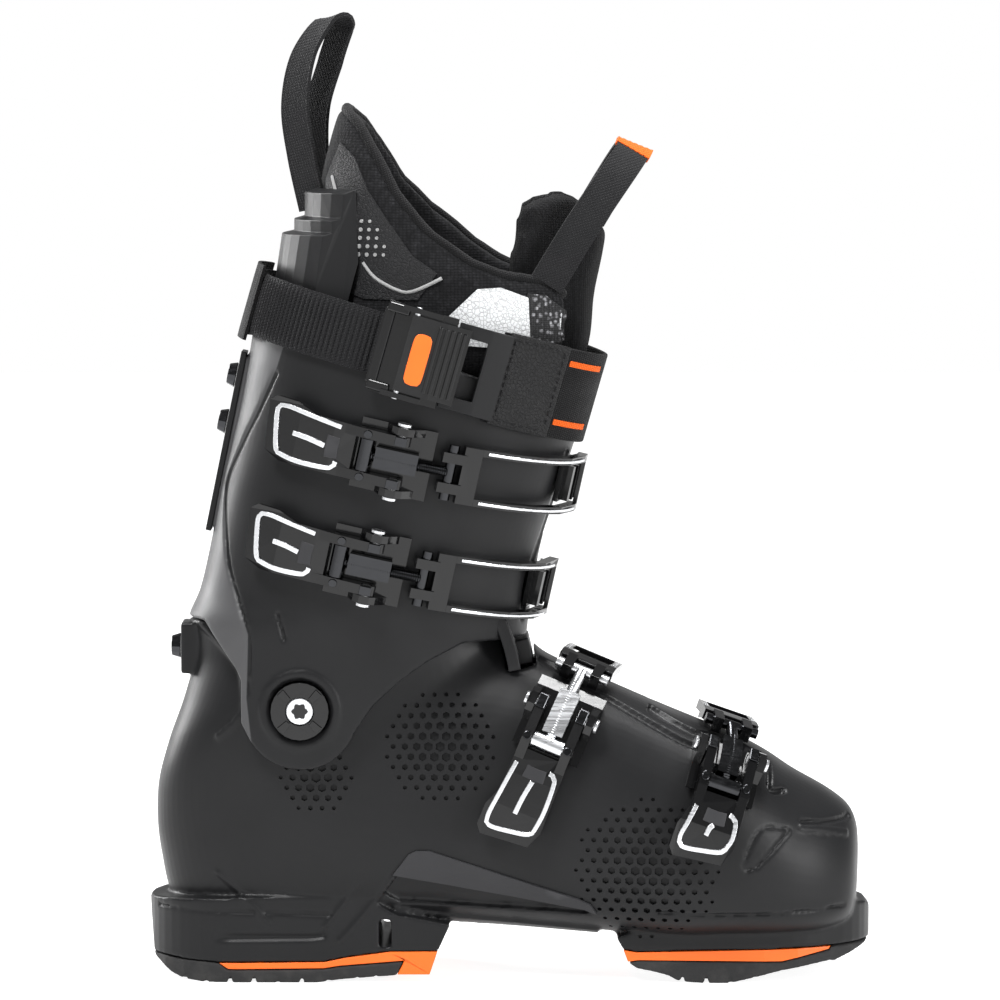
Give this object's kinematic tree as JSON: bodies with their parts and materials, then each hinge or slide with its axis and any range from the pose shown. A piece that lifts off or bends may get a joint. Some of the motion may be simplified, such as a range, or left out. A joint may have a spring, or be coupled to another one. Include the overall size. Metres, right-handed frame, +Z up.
{
  "type": "alpine ski boot",
  "caption": "Right alpine ski boot with a hinged cuff on a lower shell, padded liner and tongue, lever buckles with bails, cam strap, pull loops and bolted grip soles.",
  "frame": {"origin": "on the ground under the middle of the boot's bounding box", "axes": "+X to the toe, +Y to the inner side of the leg, +Z up"},
  "size_m": [0.304, 0.1226, 0.4057],
  "materials": {
    "board_plastic": "matte",
    "bright_metal": "satin",
    "buckle_black": "gloss",
    "cuff_plastic": "satin",
    "grey_plastic": "matte",
    "liner_foam": "knit and foam",
    "orange_plastic": "satin",
    "shell_plastic": "satin",
    "tread_rubber": "matte",
    "webbing": "woven"
  },
  "bodies": {
    "shell": {"lower_shell": "shell_plastic", "heel_tread": "tread_rubber", "heel_insert": "orange_plastic", "toe_tread": "tread_rubber", "toe_insert": "orange_plastic", "heel_screw": "bright_metal", "toe_screw": "bright_metal", "boot_board": "board_plastic", "liner_foot": "liner_foam", "footbed": "board_plastic", "spine_bolt_low": "bright_metal", "base_instep": "buckle_black", "rack_instep": "buckle_black", "rivet_instep_a": "bright_metal", "rivet_instep_b": "bright_metal", "base_toe": "buckle_black", "rack_toe": "buckle_black", "rivet_toe_a": "bright_metal", "rivet_toe_b": "bright_metal"},
    "cuff": {"cuff": "cuff_plastic", "pivot_ring_lateral": "buckle_black", "pivot_screw_lateral": "bright_metal", "pivot_ring_medial": "buckle_black", "pivot_screw_medial": "bright_metal", "rear_spoiler": "grey_plastic", "liner_upper": "liner_foam", "liner_tongue": "liner_foam", "spine_plate": "grey_plastic", "spine_bolt_top": "bright_metal", "spine_bolt_middle": "bright_metal", "rear_pull_loop": "webbing", "tongue_pull_loop": "webbing", "strap_front": "webbing", "strap_webbing": "webbing", "strap_sleeve": "webbing", "cam_frame": "buckle_black", "cam_pin": "bright_metal", "strap_hook": "grey_plastic", "base_upper_cuff": "buckle_black", "rack_upper_cuff": "buckle_black", "rivet_upper_cuff_a": "bright_metal", "rivet_upper_cuff_b": "bright_metal", "base_lower_cuff": "buckle_black", "rack_lower_cuff": "buckle_black", "rivet_lower_cuff_a": "bright_metal", "rivet_lower_cuff_b": "bright_metal"},
    "cam_lever": {"cam_lever": "buckle_black"},
    "lever_upper_cuff": {"lever_upper_cuff": "buckle_black"},
    "rod_upper_cuff": {"rod_upper_cuff": "bright_metal"},
    "bail_upper_cuff": {"bail_upper_cuff": "buckle_black"},
    "lever_lower_cuff": {"lever_lower_cuff": "buckle_black"},
    "rod_lower_cuff": {"rod_lower_cuff": "bright_metal"},
    "bail_lower_cuff": {"bail_lower_cuff": "buckle_black"},
    "lever_instep": {"lever_instep": "buckle_black"},
    "rod_instep": {"rod_instep": "bright_metal"},
    "bail_instep": {"bail_instep": "buckle_black"},
    "lever_toe": {"lever_toe": "buckle_black"},
    "rod_toe": {"rod_toe": "bright_metal"},
    "bail_toe": {"bail_toe": "buckle_black"}
  },
  "joints": [
    {"name": "cuff_flex", "type": "hinge", "parent": "shell", "child": "cuff", "pos_m": [-0.087, 0.0035, 0.116], "axis": [0, 1, 0], "range_deg": [0, 5], "stiffness_Nm_per_rad": 300},
    {"name": "lever_upper_cuff", "type": "hinge", "parent": "cuff", "child": "lever_upper_cuff", "pos_m": [-0.04642, -0.05625, 0.22041], "axis": [0.2142, -0.0798, 0.9735], "range_deg": [0, 120]},
    {"name": "rod_upper_cuff", "type": "hinge", "parent": "lever_upper_cuff", "child": "rod_upper_cuff", "pos_m": [-0.05961, -0.05499, 0.22342], "axis": [0.2142, -0.0798, 0.9735], "range_deg": [-120, 0]},
    {"name": "bail_upper_cuff", "type": "hinge", "parent": "rod_upper_cuff", "child": "bail_upper_cuff", "pos_m": [-0.02496, -0.05377, 0.21589], "axis": [-0.2142, 0.0798, -0.9735], "range_deg": [0, 36]},
    {"name": "lever_lower_cuff", "type": "hinge", "parent": "cuff", "child": "lever_lower_cuff", "pos_m": [-0.05742, -0.0532, 0.17641], "axis": [0.2142, -0.0798, 0.9735], "range_deg": [0, 110]},
    {"name": "rod_lower_cuff", "type": "hinge", "parent": "lever_lower_cuff", "child": "rod_lower_cuff", "pos_m": [-0.07062, -0.05205, 0.17941], "axis": [0.2142, -0.0798, 0.9735], "range_deg": [-110, 0]},
    {"name": "bail_lower_cuff", "type": "hinge", "parent": "rod_lower_cuff", "child": "bail_lower_cuff", "pos_m": [-0.036, -0.05062, 0.17191], "axis": [-0.2142, 0.0798, -0.9735], "range_deg": [0, 33]},
    {"name": "lever_instep", "type": "hinge", "parent": "shell", "child": "lever_instep", "pos_m": [0.02137, -0.04081, 0.11528], "axis": [-0.9181, 0.1386, 0.3714], "range_deg": [0, 75]},
    {"name": "rod_instep", "type": "hinge", "parent": "lever_instep", "child": "rod_instep", "pos_m": [0.01558, -0.04442, 0.10232], "axis": [-0.9181, 0.1386, 0.3714], "range_deg": [-75, 0]},
    {"name": "bail_instep", "type": "hinge", "parent": "rod_instep", "child": "bail_instep", "pos_m": [0.03017, -0.02253, 0.13021], "axis": [0.9181, -0.1386, -0.3714], "range_deg": [0, 22.5]},
    {"name": "lever_toe", "type": "hinge", "parent": "shell", "child": "lever_toe", "pos_m": [0.09153, -0.03661, 0.0971], "axis": [-0.9377, -0.0896, 0.3358], "range_deg": [0, 110]},
    {"name": "rod_toe", "type": "hinge", "parent": "lever_toe", "child": "rod_toe", "pos_m": [0.08824, -0.04593, 0.08542], "axis": [-0.9377, -0.0896, 0.3358], "range_deg": [-110, 0]},
    {"name": "bail_toe", "type": "hinge", "parent": "rod_toe", "child": "bail_toe", "pos_m": [0.09266, -0.01437, 0.1062], "axis": [0.9377, 0.0896, -0.3358], "range_deg": [0, 33]},
    {"name": "cam_lever", "type": "hinge", "parent": "cuff", "child": "cam_lever", "pos_m": [-0.04218, -0.05884, 0.26513], "axis": [-0.276, 0, -0.9611], "range_deg": [0, 90]}
  ],
  "couplings": [
    {"joint": "rod_upper_cuff", "follows": "lever_upper_cuff", "ratio": -1},
    {"joint": "bail_upper_cuff", "follows": "lever_upper_cuff", "ratio": 0.3},
    {"joint": "rod_lower_cuff", "follows": "lever_lower_cuff", "ratio": -1},
    {"joint": "bail_lower_cuff", "follows": "lever_lower_cuff", "ratio": 0.3},
    {"joint": "rod_instep", "follows": "lever_instep", "ratio": -1},
    {"joint": "bail_instep", "follows": "lever_instep", "ratio": 0.3},
    {"joint": "rod_toe", "follows": "lever_toe", "ratio": -1},
    {"joint": "bail_toe", "follows": "lever_toe", "ratio": 0.3}
  ]
}
